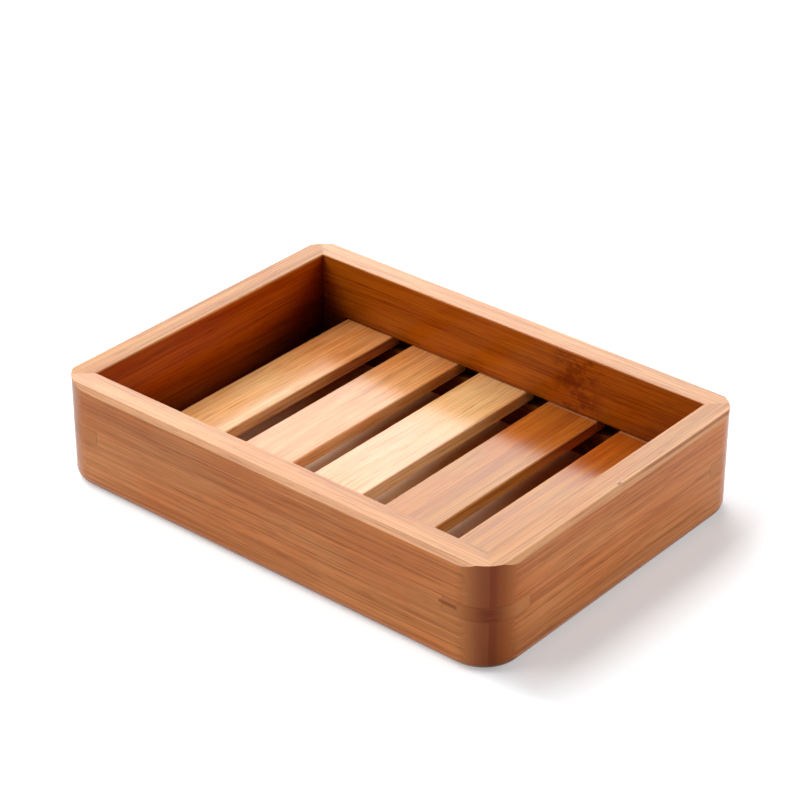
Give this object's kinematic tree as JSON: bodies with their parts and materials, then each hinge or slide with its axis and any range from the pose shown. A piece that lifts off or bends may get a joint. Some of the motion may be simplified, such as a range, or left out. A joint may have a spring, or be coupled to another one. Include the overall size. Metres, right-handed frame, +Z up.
{
  "type": "soap dish",
  "caption": "Shallow rectangular bamboo soap dish: a mitred frame with keyed, rounded corners around an open bed of slats that lets water drain away under the soap.",
  "frame": {"origin": "middle of the underside, on the surface that the dish stands on", "axes": "+X along the dish's length, +Y across it, +Z up out of the open well"},
  "size_m": [0.12, 0.0864, 0.025],
  "materials": {
    "rail_bamboo": "satin lacquer",
    "key_bamboo": "satin lacquer",
    "slat_bamboo": "semi-gloss lacquer"
  },
  "bodies": {
    "root": {"front_rail": "rail_bamboo", "back_rail": "rail_bamboo", "left_end_rail": "rail_bamboo", "right_end_rail": "rail_bamboo", "front_left_key": "key_bamboo", "front_right_key": "key_bamboo", "back_left_key": "key_bamboo", "back_right_key": "key_bamboo", "slat_1": "slat_bamboo", "slat_2": "slat_bamboo", "slat_3": "slat_bamboo", "slat_4": "slat_bamboo", "slat_5": "slat_bamboo"}
  },
  "joints": []
}
